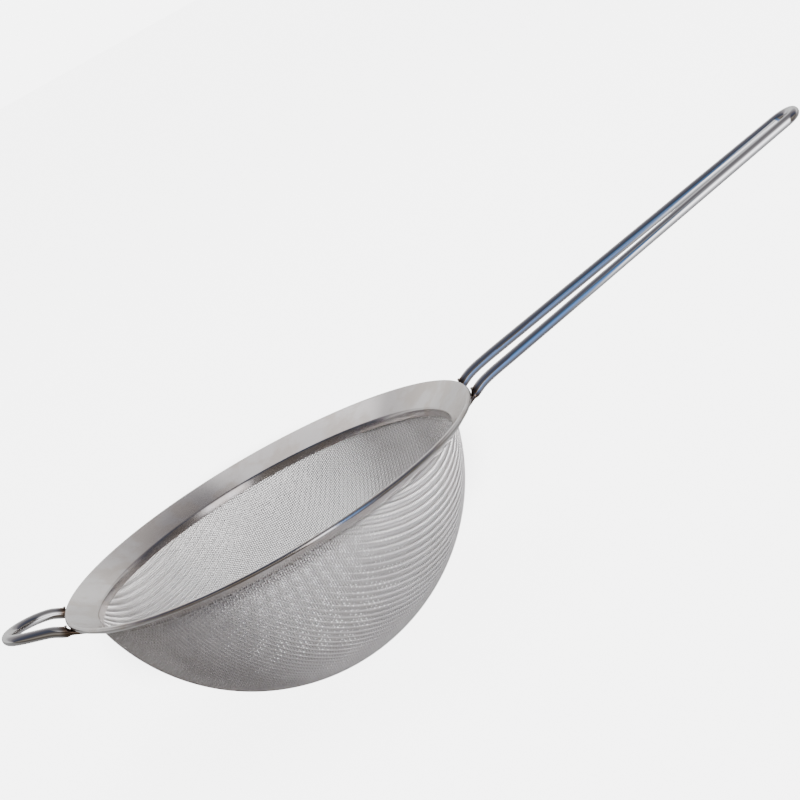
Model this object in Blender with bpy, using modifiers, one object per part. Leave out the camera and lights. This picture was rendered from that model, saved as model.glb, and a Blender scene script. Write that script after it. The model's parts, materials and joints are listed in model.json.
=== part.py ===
"""Long-handled strainer for loose tea: a pressed bowl of wire gauze held in a folded rim.

Frame: +Z is the bowl's axis, opening upwards; +X runs along the handle; the origin is the
middle of the small flat on the underside of the bowl.  Lengths are in metres.
"""
import math

import bmesh
import bpy
from mathutils import Vector

MM = 0.001

# Rim: one strip folded over the gauze, with a short collar inside the bowl.
RIM_RADIUS = 60.0 * MM
FLANGE_WIDTH = 7.4 * MM
FLANGE_ANGLE = math.radians(34.0)
FOLD_THICKNESS = 1.35 * MM
STRIP_THICKNESS = 0.3 * MM
COLLAR_THICKNESS = 0.45 * MM
COLLAR_DEPTH = 2.4 * MM
INNER_BEND_RADIUS = 0.9 * MM
GROOVE_END = 1.1 * MM
LIP_RADIUS = 54.9 * MM
LIP_BEVEL = 0.4 * MM
STRIP_EDGE_BEND = 0.12 * MM
GROOVE_BEND = 0.3 * MM

# Gauze bowl: part of a sphere, with a thin brim that lies inside the fold.
BOWL_RADIUS = 54.7 * MM
GAUZE_THICKNESS = 0.5 * MM
BRIM_THICKNESS = 0.25 * MM
BASE_FLAT_RADIUS = 5.0 * MM
SPHERE_CENTRE_ABOVE_RIM = 6.2 * MM
BRIM_END_CLEARANCE = 0.5 * MM
BRIM_BEND = 0.5 * MM
BRIM_EDGE_BEND = 0.1 * MM

# Handle: one wire bent into a long narrow loop whose legs draw together towards the end.
HANDLE_WIRE_RADIUS = 1.4 * MM
HANDLE_ROOT_HALF_SPACING = 8.3 * MM
HANDLE_TIP_HALF_SPACING = 4.4 * MM
HANDLE_STRAIGHT_START = (72.8 * MM, 1.65 * MM)
HANDLE_TIP_REACH = 172.8 * MM
HANDLE_SLOPE = math.radians(9.95)

# Where the handle's middle line climbs round the rim: reach, and height above the rim.
HANDLE_CLIMB = (
    (60.3 * MM, -1.72 * MM),
    (61.2 * MM, -1.30 * MM),
    (63.2 * MM, -0.40 * MM),
    (66.0 * MM, 0.38 * MM),
    (69.2 * MM, 1.02 * MM),
    HANDLE_STRAIGHT_START,
)

# Rest loop: half an ellipse of wire opposite the handle.
REST_WIRE_RADIUS = 1.45 * MM
REST_HALF_SPACING = 9.85 * MM
REST_CENTRE_REACH = 59.2 * MM
REST_REACH = 76.6 * MM
REST_CLIMB = (
    (60.2 * MM, -1.62 * MM),
    (61.2 * MM, -1.15 * MM),
    (63.6 * MM, 0.10 * MM),
    (67.0 * MM, 1.05 * MM),
    (71.2 * MM, 1.85 * MM),
    (75.3 * MM, 2.40 * MM),
)

# The wire ends are pressed flat on top, where they lie against the flange's underside,
# and thin out below towards their tips.
TAB_TOP_HEIGHT = 0.45 * MM
TAB_TIP_SHARE = 0.25
TAB_WIDENING = 1.1
TAB_REACHES = (55.6 * MM, 57.5 * MM, 59.2 * MM)
FLAT_UNTIL = 59.4 * MM
ROUND_FROM = 60.3 * MM

# A bead of weld metal lies in the notch between the rim's edge and each wire.
WELD_HEIGHT = 0.4 * MM
WELD_HALF_SIZE = (0.35 * MM, 1.25 * MM, 0.25 * MM)
HANDLE_WELD_REACH = 60.15 * MM
REST_WELD_REACH = 59.9 * MM

CLEARANCE = 0.3 * MM
TURN_STEPS = 60
WALL_STEPS = 12
WIRE_SIDES = 12
CLIMB_STEPS = 2
STRAIGHT_STEPS = 4
END_BEND_STEPS = 8
MERGE_DISTANCE = 0.01 * MM

# Heights and places that follow from the sizes above.
RIM_HEIGHT = (math.sqrt(BOWL_RADIUS ** 2 - BASE_FLAT_RADIUS ** 2)
              - SPHERE_CENTRE_ABOVE_RIM)
BOWL_CENTRE_Z = RIM_HEIGHT + SPHERE_CENTRE_ABOVE_RIM
FOLD_CENTRE = (RIM_RADIUS - FOLD_THICKNESS / 2.0, RIM_HEIGHT - FOLD_THICKNESS / 2.0)
FLANGE_RUN = ((FOLD_CENTRE[0] - (RIM_RADIUS - FLANGE_WIDTH)
               - math.sin(FLANGE_ANGLE) * FOLD_THICKNESS / 2.0) / math.cos(FLANGE_ANGLE))
INNER_BEND = (RIM_RADIUS - FLANGE_WIDTH,
              FOLD_CENTRE[1] - FLANGE_RUN * math.sin(FLANGE_ANGLE)
              + math.cos(FLANGE_ANGLE) * FOLD_THICKNESS / 2.0)
FOLD_END = FLANGE_RUN + FOLD_THICKNESS / 2.0

STEEL = (0.62, 0.61, 0.60)
POLISHED_STEEL = (0.70, 0.70, 0.71)
GAUZE_STEEL = (0.55, 0.54, 0.54)
WELD_STEEL = (0.16, 0.12, 0.10)


def clear_scene():
    """Start from an empty file."""
    for item in list(bpy.data.objects):
        bpy.data.objects.remove(item, do_unlink=True)
    for group in list(bpy.data.collections):
        bpy.data.collections.remove(group)


def new_collection(name):
    group = bpy.data.collections.new(name)
    bpy.context.scene.collection.children.link(group)
    return group


def metal(name, colour, roughness):
    """A bare metal finish."""
    material = bpy.data.materials.new(name)
    material.use_nodes = True
    shader = material.node_tree.nodes["Principled BSDF"]
    shader.inputs["Base Color"].default_value = (*colour, 1.0)
    shader.inputs["Metallic"].default_value = 1.0
    shader.inputs["Roughness"].default_value = roughness
    return material


def finish_object(name, mesh, material, group):
    mesh.materials.append(material)
    item = bpy.data.objects.new(name, mesh)
    group.objects.link(item)
    return item


# ---------------------------------------------------------------- profiles

def rounded(corners, closed):
    """Turn (r, z, bend radius, steps) corners into points, with an arc at each corner."""
    points = []
    count = len(corners)
    for index, (r, z, bend, steps) in enumerate(corners):
        here = Vector((r, z))
        at_end = not closed and index in (0, count - 1)
        if bend == 0.0 or at_end:
            points.append(here)
            continue
        before = Vector(corners[index - 1][:2])
        after = Vector(corners[(index + 1) % count][:2])
        to_before = (before - here).normalized()
        to_after = (after - here).normalized()
        half_angle = to_before.angle(to_after) / 2.0
        reach = bend / math.tan(half_angle)
        centre = here + (to_before + to_after).normalized() * bend / math.sin(half_angle)
        start = here + to_before * reach - centre
        end = here + to_after * reach - centre
        sweep = math.copysign(math.pi - 2.0 * half_angle, start.x * end.y - start.y * end.x)
        for step in range(steps + 1):
            turn = sweep * step / steps
            cosine = math.cos(turn)
            sine = math.sin(turn)
            points.append(centre + Vector((start.x * cosine - start.y * sine,
                                           start.x * sine + start.y * cosine)))
    return points


def sphere_r(radius, z):
    """Distance from the axis to a sphere about the bowl's centre, at height z."""
    return math.sqrt(radius ** 2 - (z - BOWL_CENTRE_Z) ** 2)


def cone_point(along, depth):
    """A point of the flange: along its slope from the inner bend, and depth below its top."""
    cosine = math.cos(FLANGE_ANGLE)
    sine = math.sin(FLANGE_ANGLE)
    return (INNER_BEND[0] + along * cosine + depth * sine,
            INNER_BEND[1] + along * sine - depth * cosine)


def cone_meets_sphere(depth, radius):
    """Where the line at this depth below the flange's top crosses a bowl sphere."""
    low = -12.0 * MM
    high = 12.0 * MM
    for _ in range(60):
        middle = (low + high) / 2.0
        r, z = cone_point(middle, depth)
        if r < sphere_r(radius, z):
            low = middle
        else:
            high = middle
    return cone_point(low, depth)


def sphere_arc(radius, angle_from, angle_to, steps):
    """Points on a bowl sphere, by angle from straight down."""
    points = []
    for step in range(steps + 1):
        angle = angle_from + (angle_to - angle_from) * step / steps
        points.append(Vector((radius * math.sin(angle),
                              BOWL_CENTRE_Z - radius * math.cos(angle))))
    return points


def turned(name, points, closed, material, group):
    """Turn a profile about Z with a Screw modifier."""
    mesh = bpy.data.meshes.new(name)
    edges = [(index, index + 1) for index in range(len(points) - 1)]
    if closed:
        edges.append((len(points) - 1, 0))
    mesh.from_pydata([(point.x, 0.0, point.y) for point in points], edges, [])
    item = finish_object(name, mesh, material, group)
    screw = item.modifiers.new("Turn", "SCREW")
    screw.axis = "Z"
    screw.angle = math.tau
    screw.steps = TURN_STEPS
    screw.render_steps = TURN_STEPS
    screw.use_merge_vertices = True
    screw.merge_threshold = MERGE_DISTANCE
    screw.use_smooth_shade = True
    return item


def make_rim(material, group):
    """The folded strip: collar, bend, flange, outer fold and the lip that grips the gauze."""
    gauze_inside = BOWL_RADIUS - GAUZE_THICKNESS
    collar_outside = gauze_inside - CLEARANCE
    collar_inside = collar_outside - COLLAR_THICKNESS
    foot_z = INNER_BEND[1] - COLLAR_DEPTH
    bend_r, bend_z = cone_meets_sphere(0.0, collar_inside)
    under_r, under_z = cone_meets_sphere(STRIP_THICKNESS, collar_outside)
    fold_top = cone_point(FOLD_END, 0.0)
    fold_bottom = cone_point(FOLD_END, FOLD_THICKNESS)
    lip_along = (LIP_RADIUS - INNER_BEND[0]) / math.cos(FLANGE_ANGLE)
    lip_bottom = cone_point(lip_along - LIP_BEVEL, FOLD_THICKNESS)
    lip_top = cone_point(lip_along, FOLD_THICKNESS - STRIP_THICKNESS)
    groove_end = FOLD_END - GROOVE_END
    groove_low = cone_point(groove_end, FOLD_THICKNESS - STRIP_THICKNESS)
    groove_high = cone_point(groove_end, STRIP_THICKNESS)
    fold_bend = FOLD_THICKNESS / 2.0 * 0.98
    corners = [
        (sphere_r(collar_inside, foot_z), foot_z, STRIP_EDGE_BEND, 2),
        (bend_r, bend_z, INNER_BEND_RADIUS, 5),
        (*fold_top, fold_bend, 4),
        (*fold_bottom, fold_bend, 4),
        (*lip_bottom, STRIP_EDGE_BEND, 2),
        (*lip_top, STRIP_EDGE_BEND, 2),
        (*groove_low, GROOVE_BEND, 2),
        (*groove_high, GROOVE_BEND, 2),
        (under_r, under_z, INNER_BEND_RADIUS - STRIP_THICKNESS, 4),
        (sphere_r(collar_outside, foot_z), foot_z, STRIP_EDGE_BEND, 2),
    ]
    return turned("rim_ring", rounded(corners, True), True, material, group)


def make_bowl(material, group):
    """The gauze as a thin shell: spherical wall, flat base spot and brim inside the fold."""
    inside = BOWL_RADIUS - GAUZE_THICKNESS
    brim_top = (FOLD_THICKNESS - BRIM_THICKNESS) / 2.0
    brim_bottom = brim_top + BRIM_THICKNESS
    brim_end = FOLD_END - GROOVE_END - BRIM_END_CLEARANCE
    inner_r, inner_z = cone_meets_sphere(brim_top, inside)
    outer_r, outer_z = cone_meets_sphere(brim_bottom, BOWL_RADIUS)
    flat_angle = math.asin(BASE_FLAT_RADIUS / BOWL_RADIUS)
    wall_top = INNER_BEND[1] - COLLAR_DEPTH
    inner_stop = math.acos((BOWL_CENTRE_Z - wall_top) / inside)
    outer_stop = math.acos((BOWL_CENTRE_Z - wall_top) / BOWL_RADIUS)
    inner_wall = sphere_arc(inside, flat_angle, inner_stop, WALL_STEPS)
    outer_wall = sphere_arc(BOWL_RADIUS, outer_stop, flat_angle, WALL_STEPS)
    shoulder = rounded([
        (inner_wall[-1].x, inner_wall[-1].y, 0.0, 0),
        (inner_r, inner_z, BRIM_BEND, 3),
        (*cone_point(brim_end, brim_top), BRIM_EDGE_BEND, 2),
        (*cone_point(brim_end, brim_bottom), BRIM_EDGE_BEND, 2),
        (outer_r, outer_z, BRIM_BEND, 3),
        (outer_wall[0].x, outer_wall[0].y, 0.0, 0),
    ], False)
    inner_pole = Vector((0.0, inner_wall[0].y))
    outer_pole = Vector((0.0, outer_wall[-1].y))
    points = [inner_pole, *inner_wall[:-1], *shoulder, *outer_wall[1:], outer_pole]
    return turned("mesh_bowl", points, False, material, group)


# ---------------------------------------------------------------- wires

def smooth_step(value, low, high):
    share = min(1.0, max(0.0, (value - low) / (high - low)))
    return share * share * (3.0 - 2.0 * share)


def spline(knots, steps):
    """A Catmull-Rom curve through the knots, with this many steps between each two."""
    padded = [2.0 * knots[0] - knots[1], *knots, 2.0 * knots[-1] - knots[-2]]
    points = []
    for index in range(1, len(padded) - 2):
        a, b, c, d = padded[index - 1:index + 3]
        for step in range(steps):
            t = step / steps
            points.append(0.5 * (2.0 * b + (c - a) * t
                                 + (2.0 * a - 5.0 * b + 4.0 * c - d) * t ** 2
                                 + (3.0 * b - a - 3.0 * c + d) * t ** 3))
    points.append(knots[-1].copy())
    return points


def under_flange(reach, half_spacing):
    """Height of a wire end's middle line where it lies under the flange at this reach."""
    r = math.hypot(reach, half_spacing)
    depth = FOLD_THICKNESS + CLEARANCE + TAB_TOP_HEIGHT
    along = (r - INNER_BEND[0] - depth * math.sin(FLANGE_ANGLE)) / math.cos(FLANGE_ANGLE)
    return cone_point(along, depth)[1] - RIM_HEIGHT


def loft_wire(name, path, wire_radius, material, group):
    """Sweep a round section along the path, pressed flat where it lies under the flange."""
    mesh_builder = bmesh.new()
    rings = []
    for index, point in enumerate(path):
        before = path[max(index - 1, 0)]
        after = path[min(index + 1, len(path) - 1)]
        tangent = (after - before).normalized()
        side = Vector((0.0, 0.0, 1.0)).cross(tangent).normalized()
        up = tangent.cross(side)
        share = smooth_step(abs(point.x), FLAT_UNTIL, ROUND_FROM)
        top_height = TAB_TOP_HEIGHT + (wire_radius - TAB_TOP_HEIGHT) * share
        taper = (abs(point.x) - TAB_REACHES[0]) / (ROUND_FROM - TAB_REACHES[0])
        taper = min(1.0, max(0.0, taper))
        under_height = wire_radius * (TAB_TIP_SHARE + (1.0 - TAB_TIP_SHARE) * taper)
        half_width = wire_radius * (TAB_WIDENING + (1.0 - TAB_WIDENING) * share)
        ring = []
        for corner in range(WIRE_SIDES):
            angle = math.tau * (corner + 0.5) / WIRE_SIDES
            height = top_height if math.sin(angle) > 0.0 else under_height
            offset = side * math.cos(angle) * half_width + up * math.sin(angle) * height
            ring.append(mesh_builder.verts.new(point + offset))
        rings.append(ring)
    for first, second in zip(rings, rings[1:]):
        for corner in range(WIRE_SIDES):
            following = (corner + 1) % WIRE_SIDES
            mesh_builder.faces.new((first[corner], first[following],
                                    second[following], second[corner]))
    mesh_builder.faces.new(rings[0])
    mesh_builder.faces.new(rings[-1])
    bmesh.ops.recalc_face_normals(mesh_builder, faces=mesh_builder.faces)
    mesh = bpy.data.meshes.new(name)
    mesh_builder.to_mesh(mesh)
    mesh_builder.free()
    mesh.shade_smooth()
    mesh.set_sharp_from_angle(angle=math.radians(40.0))
    return finish_object(name, mesh, material, group)


def mirrored_path(leg):
    """Join a leg on the +Y side, its end on the middle plane, to its mirror image."""
    other = [Vector((point.x, -point.y, point.z)) for point in reversed(leg[:-1])]
    return leg + other


def make_handle(material, group):
    """The handle wire: tab, root bend, straight leg and half of the end bend, mirrored."""
    start_x, start_z = HANDLE_STRAIGHT_START
    slope = math.tan(HANDLE_SLOPE)
    end_x = HANDLE_TIP_REACH - HANDLE_WIRE_RADIUS - HANDLE_TIP_HALF_SPACING
    taper = ((HANDLE_ROOT_HALF_SPACING - HANDLE_TIP_HALF_SPACING) / (end_x - start_x))

    def place(x, z):
        y = HANDLE_ROOT_HALF_SPACING - taper * max(0.0, x - start_x)
        return Vector((x, y, z))

    root = [place(x, under_flange(x, HANDLE_ROOT_HALF_SPACING)) for x in TAB_REACHES]
    root += [place(x, z) for x, z in HANDLE_CLIMB]
    leg = spline(root, CLIMB_STEPS)
    for step in range(1, STRAIGHT_STEPS + 1):
        x = start_x + (end_x - start_x) * step / STRAIGHT_STEPS
        leg.append(place(x, start_z + (x - start_x) * slope))
    for step in range(1, END_BEND_STEPS + 1):
        turn = math.pi / 2.0 * step / END_BEND_STEPS
        x = end_x + HANDLE_TIP_HALF_SPACING * math.sin(turn)
        y = HANDLE_TIP_HALF_SPACING * math.cos(turn)
        leg.append(Vector((x, y, start_z + (x - start_x) * slope)))
    path = [point + Vector((0.0, 0.0, RIM_HEIGHT)) for point in mirrored_path(leg)]
    return loft_wire("handle_wire", path, HANDLE_WIRE_RADIUS, material, group)


def make_rest_loop(material, group):
    """The rest loop: tabs, then half an ellipse that climbs away from the rim."""
    reach = REST_REACH - REST_WIRE_RADIUS - REST_CENTRE_REACH
    heights = [Vector((x, under_flange(x, REST_HALF_SPACING))) for x in TAB_REACHES]
    heights += [Vector(mark) for mark in REST_CLIMB[:-1]]

    def place(x, z):
        share = min(1.0, max(0.0, (x - REST_CENTRE_REACH) / reach))
        return Vector((x, REST_HALF_SPACING * math.sqrt(1.0 - share ** 2), z))

    leg = [place(x, z) for x, z in spline(heights, CLIMB_STEPS)]
    last = leg[-1].copy()
    end_x, end_z = REST_CLIMB[-1]
    start_turn = math.asin((last.x - REST_CENTRE_REACH) / reach)
    for step in range(1, END_BEND_STEPS + 1):
        turn = start_turn + (math.pi / 2.0 - start_turn) * step / END_BEND_STEPS
        x = REST_CENTRE_REACH + reach * math.sin(turn)
        share = (x - last.x) / (end_x - last.x)
        z = last.z + (end_z - last.z) * share
        leg.append(Vector((x, REST_HALF_SPACING * math.cos(turn), z)))
    path = [Vector((-point.x, point.y, point.z + RIM_HEIGHT)) for point in mirrored_path(leg)]
    return loft_wire("rest_loop", path, REST_WIRE_RADIUS, material, group)


# ---------------------------------------------------------------- welds

def make_weld(name, x, y, material, group):
    """A small bead of weld metal in the notch between the flange's edge and a wire."""
    mesh_builder = bmesh.new()
    bmesh.ops.create_uvsphere(mesh_builder, u_segments=12, v_segments=8, radius=1.0)
    for vertex in mesh_builder.verts:
        vertex.co = vertex.co * Vector(WELD_HALF_SIZE)
    mesh = bpy.data.meshes.new(name)
    mesh_builder.to_mesh(mesh)
    mesh_builder.free()
    mesh.shade_smooth()
    item = finish_object(name, mesh, material, group)
    item.location = (x, y, RIM_HEIGHT + WELD_HEIGHT)
    return item


def make_welds(material, group):
    """One bead on each wire end, at the handle and at the rest loop."""
    make_weld("handle_weld_far", HANDLE_WELD_REACH, HANDLE_ROOT_HALF_SPACING,
              material, group)
    make_weld("handle_weld_near", HANDLE_WELD_REACH, -HANDLE_ROOT_HALF_SPACING,
              material, group)
    make_weld("rest_weld_far", -REST_WELD_REACH, REST_HALF_SPACING, material, group)
    make_weld("rest_weld_near", -REST_WELD_REACH, -REST_HALF_SPACING, material, group)


def main():
    clear_scene()
    parts = new_collection("tea_strainer")
    flange_finish = metal("polished_rim_steel", STEEL, 0.28)
    wire_finish = metal("polished_wire_steel", POLISHED_STEEL, 0.10)
    gauze_finish = metal("woven_gauze_steel", GAUZE_STEEL, 0.35)
    weld_finish = metal("tinted_weld_steel", WELD_STEEL, 0.45)
    make_rim(flange_finish, parts)
    make_bowl(gauze_finish, parts)
    make_handle(wire_finish, parts)
    make_rest_loop(wire_finish, parts)
    make_welds(weld_finish, parts)


main()
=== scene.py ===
# %% [markdown]
# # A long-handled tea strainer, built piece by piece
#
# The strainer is a bowl of woven wire gauze, held in a rim that is folded from one strip
# of steel.  A long wire handle is welded to one side of the rim and a short wire loop,
# which rests on the cup's edge, to the other.  The measured model is loaded first as a
# fixed frame: every piece below takes its place from it and none of its parts is moved.

# %% Load the frame
import json
import math

import bpy
import numpy as np
from mathutils import Matrix, Vector

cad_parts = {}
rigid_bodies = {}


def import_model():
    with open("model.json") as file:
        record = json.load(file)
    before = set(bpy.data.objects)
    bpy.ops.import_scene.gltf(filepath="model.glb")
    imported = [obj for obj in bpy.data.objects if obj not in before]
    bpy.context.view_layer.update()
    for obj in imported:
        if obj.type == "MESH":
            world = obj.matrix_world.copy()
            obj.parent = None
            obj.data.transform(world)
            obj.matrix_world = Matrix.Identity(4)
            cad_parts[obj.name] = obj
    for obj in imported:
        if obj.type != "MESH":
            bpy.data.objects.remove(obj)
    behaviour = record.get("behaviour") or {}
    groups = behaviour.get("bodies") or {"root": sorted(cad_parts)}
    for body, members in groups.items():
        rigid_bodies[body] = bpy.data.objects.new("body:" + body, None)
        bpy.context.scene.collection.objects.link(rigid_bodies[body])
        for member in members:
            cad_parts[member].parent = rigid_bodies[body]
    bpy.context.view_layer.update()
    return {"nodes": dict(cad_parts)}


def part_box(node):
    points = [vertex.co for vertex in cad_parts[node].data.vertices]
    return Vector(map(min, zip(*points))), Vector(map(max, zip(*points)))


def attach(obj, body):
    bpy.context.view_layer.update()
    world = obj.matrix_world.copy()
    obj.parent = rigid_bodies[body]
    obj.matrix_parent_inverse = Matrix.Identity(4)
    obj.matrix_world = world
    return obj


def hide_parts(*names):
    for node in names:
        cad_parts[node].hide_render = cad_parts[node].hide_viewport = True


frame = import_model()
print("frame nodes:", sorted(frame["nodes"]))

# %% [markdown]
# Lengths are in metres in Blender, but a strainer is easier to think about in
# millimetres, so `MM` turns one into the other.  The two driving sizes come from the
# frame: the height of the rim's top and the rim's radius.

# %% Driving sizes
MM = 0.001
rim_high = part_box("rim_ring")[1]
RIM_TOP = rim_high[2]
RIM_RADIUS = rim_high[1]
print(f"rim: {RIM_RADIUS / MM:.1f} mm radius, top at {RIM_TOP / MM:.2f} mm")

# %% [markdown]
# A product camera stands far back with a long lens, so that the round rim keeps its
# shape.  It is rolled, which is why the handle climbs to the right in the view.

# %% Camera
CAMERA_PLACE = Vector((0.0, -526.5 * MM, RIM_TOP + 120.1 * MM))
AIM_POINT = Vector((43.1 * MM, 0.0, RIM_TOP + 4.75 * MM))
CAMERA_ROLL = math.radians(29.19)
LENS_MM = 93.25
SENSOR_WIDTH_MM = 36.0
CLIP_RANGE = (0.01, 500.0)


def place_camera():
    """Look from the camera's place to the aim point, then roll about the line of sight."""
    data = bpy.data.cameras.new("studio_camera")
    data.sensor_width = SENSOR_WIDTH_MM
    data.lens = LENS_MM
    data.clip_start, data.clip_end = CLIP_RANGE
    camera = bpy.data.objects.new("studio_camera", data)
    bpy.context.scene.collection.objects.link(camera)
    sight = (AIM_POINT - CAMERA_PLACE).normalized()
    turn = sight.to_track_quat("-Z", "Y").to_matrix()
    roll = Matrix.Rotation(CAMERA_ROLL, 3, sight)
    camera.matrix_world = Matrix.Translation(CAMERA_PLACE) @ (roll @ turn).to_4x4()
    bpy.context.scene.camera = camera
    return camera


camera = place_camera()
print("camera", tuple(round(value, 3) for value in camera.location))

# %% [markdown]
# Every mesh below is made from arrays of points and quads, which is quick even for the
# gauze.  One helper turns the arrays into a smooth-shaded object, gives it its finish, hangs
# it on the body that carries it and hides the CAD node that it stands for.

# %% Helper that makes a piece
def make_piece(name, points, faces, material, node, sharp=40.0):
    """A mesh piece that rides on the root body and stands for one node of the frame."""
    mesh = bpy.data.meshes.new(name)
    mesh.from_pydata(points, [], faces)
    mesh.materials.append(material)
    mesh.shade_smooth()
    mesh.set_sharp_from_angle(angle=math.radians(sharp))
    piece = bpy.data.objects.new(name, mesh)
    bpy.context.scene.collection.objects.link(piece)
    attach(piece, "root")
    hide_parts(node)
    return piece


def grid_faces(rows, columns, wrap_rows=False, wrap_columns=True):
    """Quads of a grid of points that is numbered row by row."""
    row = np.arange(rows if wrap_rows else rows - 1)[:, None]
    column = np.arange(columns if wrap_columns else columns - 1)[None, :]
    next_row = (row + 1) % rows
    next_column = (column + 1) % columns
    corners = [row * columns + column, row * columns + next_column,
               next_row * columns + next_column, next_row * columns + column]
    return np.stack(np.broadcast_arrays(*corners), axis=-1).reshape(-1, 4)


def closed_tube_faces(rings, sides, first=0):
    """Quads of a tube whose points start at number first, and a cap at each end."""
    faces = (grid_faces(rings, sides) + first).tolist()
    faces.append(list(range(first + sides - 1, first - 1, -1)))
    last = first + (rings - 1) * sides
    faces.append(list(range(last, last + sides)))
    return faces


# %% [markdown]
# ## Finishes
#
# All the metal is bare stainless steel, so one recipe serves: a Principled shader with
# Metallic at 1.  What differs is how smooth it is and what marks it carries.  Each finish
# reads its marks from the object's own coordinates, so they stay put as the camera moves.

# %% Finish helpers
NOISE_SPREAD = (0.3, 0.7)


def new_finish(name, metallic=1.0):
    """An empty node material; returns the material, its node tree and its shader."""
    material = bpy.data.materials.new(name)
    material.use_nodes = True
    tree = material.node_tree
    shader = tree.nodes["Principled BSDF"]
    shader.inputs["Metallic"].default_value = metallic
    return material, tree, shader


def object_coordinates(tree, scale=(1.0, 1.0, 1.0)):
    """The piece's own coordinates, stretched by a Mapping node."""
    coordinates = tree.nodes.new("ShaderNodeTexCoord")
    mapping = tree.nodes.new("ShaderNodeMapping")
    mapping.inputs["Scale"].default_value = scale
    tree.links.new(coordinates.outputs["Object"], mapping.inputs["Vector"])
    return mapping.outputs["Vector"]


def noise(tree, vector, scale, detail=3.0):
    """Cloudy noise from 0 to 1; a larger scale makes smaller clouds."""
    node = tree.nodes.new("ShaderNodeTexNoise")
    node.inputs["Scale"].default_value = scale
    node.inputs["Detail"].default_value = detail
    tree.links.new(vector, node.inputs["Vector"])
    return node.outputs["Fac"]


def map_value(tree, value, low, high, to_low=0.0, to_high=1.0, smooth=True):
    """Stretch the range low..high of a value to the range to_low..to_high."""
    node = tree.nodes.new("ShaderNodeMapRange")
    node.interpolation_type = "SMOOTHSTEP" if smooth else "LINEAR"
    for socket, number in (("From Min", low), ("From Max", high),
                           ("To Min", to_low), ("To Max", to_high)):
        node.inputs[socket].default_value = number
    tree.links.new(value, node.inputs["Value"])
    return node.outputs["Result"]


def blend_colours(tree, share, first, second):
    """Mix two colours (or colour sockets) by a 0 to 1 value."""
    node = tree.nodes.new("ShaderNodeMix")
    node.data_type = "RGBA"
    tree.links.new(share, node.inputs["Factor"])
    for socket, colour in ((node.inputs[6], first), (node.inputs[7], second)):
        if isinstance(colour, tuple):
            socket.default_value = (*colour, 1.0)
        else:
            tree.links.new(colour, socket)
    return node.outputs[2]


def math_node(tree, operation, first, second):
    """One Math node; either input is a number or a socket."""
    node = tree.nodes.new("ShaderNodeMath")
    node.operation = operation
    for socket, value in zip(node.inputs, (first, second)):
        if isinstance(value, float):
            socket.default_value = value
        else:
            tree.links.new(value, socket)
    return node.outputs[0]


def split_vector(tree, vector):
    """The X, Y and Z of a vector socket."""
    node = tree.nodes.new("ShaderNodeSeparateXYZ")
    tree.links.new(vector, node.inputs["Vector"])
    return node.outputs["X"], node.outputs["Y"], node.outputs["Z"]


def add_gloss(tree, shader, clouds, smoothest, roughest):
    """Let the clouds set the roughness between two values."""
    gloss = map_value(tree, clouds, *NOISE_SPREAD, smoothest, roughest, smooth=False)
    tree.links.new(gloss, shader.inputs["Roughness"])


def add_bump(tree, shader, height, distance, strength):
    """Tiny dents from a height socket."""
    node = tree.nodes.new("ShaderNodeBump")
    node.inputs["Strength"].default_value = strength
    node.inputs["Distance"].default_value = distance
    tree.links.new(height, node.inputs["Height"])
    tree.links.new(node.outputs["Normal"], shader.inputs["Normal"])


# %% [markdown]
# The rim is rolled strip that was tumbled after folding: satin rather than mirror-like,
# with a soft, cloudy variation in gloss and faint warm stains.  Tumbling rubs the faces
# that look up or outwards.  The underside keeps the shine of the rolled sheet, and mirrors
# the gauze below it, so the roughness depends on which way a face points.

# %% Rim finish
RIM_COLOURS = ((0.625, 0.60, 0.59), (0.57, 0.525, 0.49))
RIM_CLOUD_SCALE = 140.0
RIM_STAIN_RANGE = (0.42, 0.62)
RIM_ROUGHNESS = (0.17, 0.25)
RIM_GRAIN_SCALE = 1600.0
RIM_GRAIN_DEPTH = 0.02 * MM
RIM_GRAIN_STRENGTH = 0.2
UPWARD = (-0.4, 0.0)
UNDERSIDE_ROUGHNESS = 0.07


def rim_finish():
    material, tree, shader = new_finish("satin_rim_steel")
    place = object_coordinates(tree)
    clouds = noise(tree, place, RIM_CLOUD_SCALE)
    grain = noise(tree, place, RIM_GRAIN_SCALE, detail=2.0)
    warm = blend_colours(tree, map_value(tree, clouds, *RIM_STAIN_RANGE), *RIM_COLOURS)
    tree.links.new(warm, shader.inputs["Base Color"])
    rubbed = map_value(tree, clouds, *NOISE_SPREAD, *RIM_ROUGHNESS, smooth=False)
    geometry = tree.nodes.new("ShaderNodeNewGeometry")
    normal_z = split_vector(tree, geometry.outputs["Normal"])[2]
    upward = map_value(tree, normal_z, *UPWARD)
    gloss = tree.nodes.new("ShaderNodeMix")
    gloss.inputs["A"].default_value = UNDERSIDE_ROUGHNESS
    tree.links.new(upward, gloss.inputs["Factor"])
    tree.links.new(rubbed, gloss.inputs["B"])
    tree.links.new(gloss.outputs["Result"], shader.inputs["Roughness"])
    add_bump(tree, shader, grain, RIM_GRAIN_DEPTH, RIM_GRAIN_STRENGTH)
    return material


# %% [markdown]
# The handle and the loop are drawn wire, electropolished to a mirror.  Drawing leaves
# very fine lines along the wire, so the noise is stretched along X.  Next to the rim the
# welding heat has left a brown tint that fades within a few millimetres.

# %% Wire finish
ALONG_X_STRETCH = (0.08, 1.0, 1.0)
DRAWN_SCALE = 2600.0
DRAWN_DEPTH = 0.004 * MM
DRAWN_STRENGTH = 0.25
WIRE_CLOUD_SCALE = 90.0
WIRE_DARKEST = 0.95
WIRE_ROUGHNESS = (0.045, 0.085)
HEAT_TINT = (0.22, 0.16, 0.12)
HEAT_END = RIM_RADIUS + 0.3 * MM
HEAT_FADE = RIM_RADIUS + 2.2 * MM


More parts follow.
